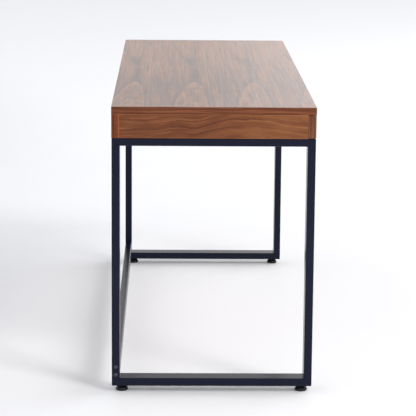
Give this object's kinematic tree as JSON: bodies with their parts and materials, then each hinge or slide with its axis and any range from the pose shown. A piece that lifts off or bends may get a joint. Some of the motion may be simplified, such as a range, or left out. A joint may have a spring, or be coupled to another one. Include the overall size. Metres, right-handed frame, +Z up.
{
  "type": "writing desk with drawers",
  "caption": "Rectangular desk: shallow wood-veneered case with side-by-side handleless drawers, on welded rectangular-tube end frames joined by a low rear stretcher, with levelling feet.",
  "frame": {"origin": "centre of the desk on the floor, under the middle of the top, with the levelling feet screwed in", "axes": "+X along the desk to the user's right, the user sits at the -Y side, +Z up"},
  "size_m": [1.5, 0.5, 0.72],
  "materials": {
    "walnut_board": "satin lacquered walnut veneer on board",
    "drawer_wood": "clear lacquered birch plywood",
    "beech_dowel": "raw fluted beech",
    "powder_coated_steel": "fine satin powder coat, near black with a blue cast",
    "foot_plastic": "glossy black",
    "bumper_rubber": "soft matt",
    "black_fastener": "black oxide, satin",
    "cam_zinc": "cast zinc",
    "zinc_steel": "bright zinc plate"
  },
  "bodies": {
    "desk": {"top_panel": "walnut_board", "bottom_panel": "walnut_board", "back_panel": "walnut_board", "left_end_panel": "walnut_board", "right_end_panel": "walnut_board", "centre_divider": "walnut_board", "case_dowels": "beech_dowel", "cam_locks": "cam_zinc", "cam_bolts": "cam_zinc", "drawer_bumpers": "bumper_rubber", "left_front_leg": "powder_coated_steel", "left_back_leg": "powder_coated_steel", "left_top_rail": "powder_coated_steel", "left_bottom_rail": "powder_coated_steel", "right_front_leg": "powder_coated_steel", "right_back_leg": "powder_coated_steel", "right_top_rail": "powder_coated_steel", "right_bottom_rail": "powder_coated_steel", "rear_stretcher": "powder_coated_steel", "stretcher_plugs": "zinc_steel", "stretcher_bolts": "black_fastener", "frame_screws": "black_fastener", "case_inserts": "zinc_steel", "foot_inserts": "zinc_steel", "left_slide_rails": "zinc_steel", "right_slide_rails": "zinc_steel", "rail_screws": "zinc_steel"},
    "left_drawer": {"left_drawer_front": "walnut_board", "left_drawer_box_front": "drawer_wood", "left_drawer_outer_side": "drawer_wood", "left_drawer_inner_side": "drawer_wood", "left_drawer_back": "drawer_wood", "left_drawer_bottom": "drawer_wood", "left_drawer_dowels": "beech_dowel", "left_drawer_front_screws": "zinc_steel", "left_drawer_runner_screws": "zinc_steel", "left_slide_runners": "zinc_steel"},
    "left_slide_middle": {"left_slide_middles": "zinc_steel", "left_slide_cages": "zinc_steel"},
    "left_front_foot": {"left_front_foot_pad": "foot_plastic", "left_front_foot_stud": "zinc_steel"},
    "left_back_foot": {"left_back_foot_pad": "foot_plastic", "left_back_foot_stud": "zinc_steel"},
    "right_drawer": {"right_drawer_front": "walnut_board", "right_drawer_box_front": "drawer_wood", "right_drawer_outer_side": "drawer_wood", "right_drawer_inner_side": "drawer_wood", "right_drawer_back": "drawer_wood", "right_drawer_bottom": "drawer_wood", "right_drawer_dowels": "beech_dowel", "right_drawer_front_screws": "zinc_steel", "right_drawer_runner_screws": "zinc_steel", "right_slide_runners": "zinc_steel"},
    "right_slide_middle": {"right_slide_middles": "zinc_steel", "right_slide_cages": "zinc_steel"},
    "right_front_foot": {"right_front_foot_pad": "foot_plastic", "right_front_foot_stud": "zinc_steel"},
    "right_back_foot": {"right_back_foot_pad": "foot_plastic", "right_back_foot_stud": "zinc_steel"}
  },
  "joints": [
    {"name": "left_drawer_slide", "type": "slide", "parent": "desk", "child": "left_drawer", "axis": [0, -1, 0], "range_m": [0, 0.4]},
    {"name": "left_middle_slide", "type": "slide", "parent": "desk", "child": "left_slide_middle", "axis": [0, -1, 0], "range_m": [0, 0.2]},
    {"name": "right_drawer_slide", "type": "slide", "parent": "desk", "child": "right_drawer", "axis": [0, -1, 0], "range_m": [0, 0.4]},
    {"name": "right_middle_slide", "type": "slide", "parent": "desk", "child": "right_slide_middle", "axis": [0, -1, 0], "range_m": [0, 0.2]},
    {"name": "left_front_foot_screw", "type": "slide", "parent": "desk", "child": "left_front_foot", "axis": [0, 0, -1], "range_m": [0, 0.008]},
    {"name": "left_back_foot_screw", "type": "slide", "parent": "desk", "child": "left_back_foot", "axis": [0, 0, -1], "range_m": [0, 0.008]},
    {"name": "right_front_foot_screw", "type": "slide", "parent": "desk", "child": "right_front_foot", "axis": [0, 0, -1], "range_m": [0, 0.008]},
    {"name": "right_back_foot_screw", "type": "slide", "parent": "desk", "child": "right_back_foot", "axis": [0, 0, -1], "range_m": [0, 0.008]}
  ],
  "couplings": [
    {"joint": "left_middle_slide", "follows": "left_drawer_slide", "ratio": 0.5},
    {"joint": "right_middle_slide", "follows": "right_drawer_slide", "ratio": 0.5}
  ]
}
